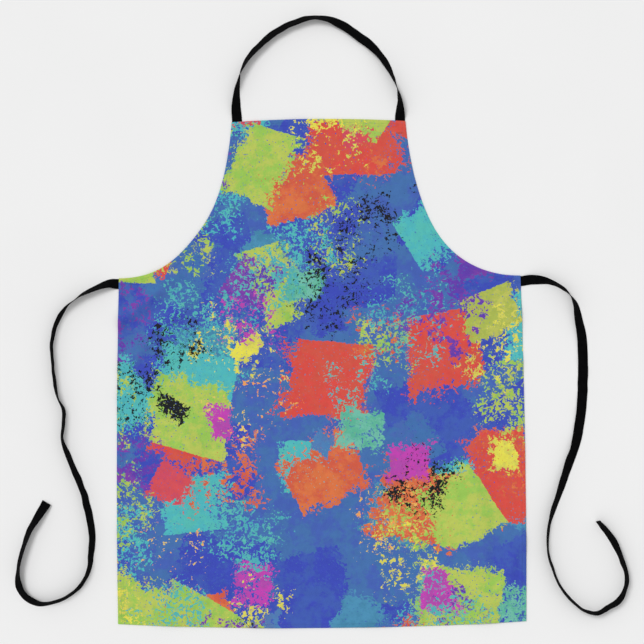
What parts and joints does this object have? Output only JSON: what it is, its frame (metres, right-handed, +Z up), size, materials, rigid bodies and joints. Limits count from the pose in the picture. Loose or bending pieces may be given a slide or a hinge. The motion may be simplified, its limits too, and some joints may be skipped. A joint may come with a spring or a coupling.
{
  "type": "bib apron",
  "caption": "Printed cloth bib apron with turned hems, a neck strap and waist ties of flat tape, lying flat; worn to keep paint off clothes.",
  "frame": {"origin": "middle of the body cloth, on the surface that the apron lies on", "axes": "+X to the right of the printed side, +Y towards the neck, +Z up out of the printed side"},
  "size_m": [0.9155, 0.917, 0.015],
  "materials": {
    "printed_cloth": "matte",
    "tape": "matte",
    "thread": "matte"
  },
  "bodies": {
    "skirt": {"skirt_panel": "printed_cloth", "left_side_hem": "printed_cloth", "right_side_hem": "printed_cloth", "bottom_hem": "printed_cloth", "left_corner_hem": "printed_cloth", "right_corner_hem": "printed_cloth", "left_side_stitching": "thread", "right_side_stitching": "thread", "bottom_stitching": "thread", "left_corner_stitching": "thread", "right_corner_stitching": "thread", "left_tie_sewn_end": "tape", "right_tie_sewn_end": "tape", "left_tie_bartack": "thread", "right_tie_bartack": "thread"},
    "bib": {"bib_panel": "printed_cloth", "top_hem": "printed_cloth", "left_armhole_hem": "printed_cloth", "right_armhole_hem": "printed_cloth", "top_stitching": "thread", "left_armhole_stitching": "thread", "right_armhole_stitching": "thread", "left_strap_sewn_end": "tape", "right_strap_sewn_end": "tape", "left_strap_bartack": "thread", "right_strap_bartack": "thread"},
    "neck_loop": {"neck_strap": "tape"},
    "left_tie": {"left_tie": "tape"},
    "right_tie": {"right_tie": "tape"}
  },
  "joints": [
    {"name": "bib_fold", "type": "hinge", "parent": "skirt", "child": "bib", "pos_m": [0, 0.152, 0.0014], "axis": [1, 0, 0], "range_deg": [0, 135]},
    {"name": "neck_loop_fold", "type": "hinge", "parent": "bib", "child": "neck_loop", "pos_m": [0, 0.3784, 0.0014], "axis": [1, 0, 0], "range_deg": [0, 90]},
    {"name": "left_tie_fold", "type": "hinge", "parent": "skirt", "child": "left_tie", "pos_m": [-0.3008, 0.136, 0.0014], "axis": [0, 1, 0], "range_deg": [0, 135]},
    {"name": "right_tie_fold", "type": "hinge", "parent": "skirt", "child": "right_tie", "pos_m": [0.3008, 0.136, 0.0014], "axis": [0, -1, 0], "range_deg": [0, 135]}
  ]
}
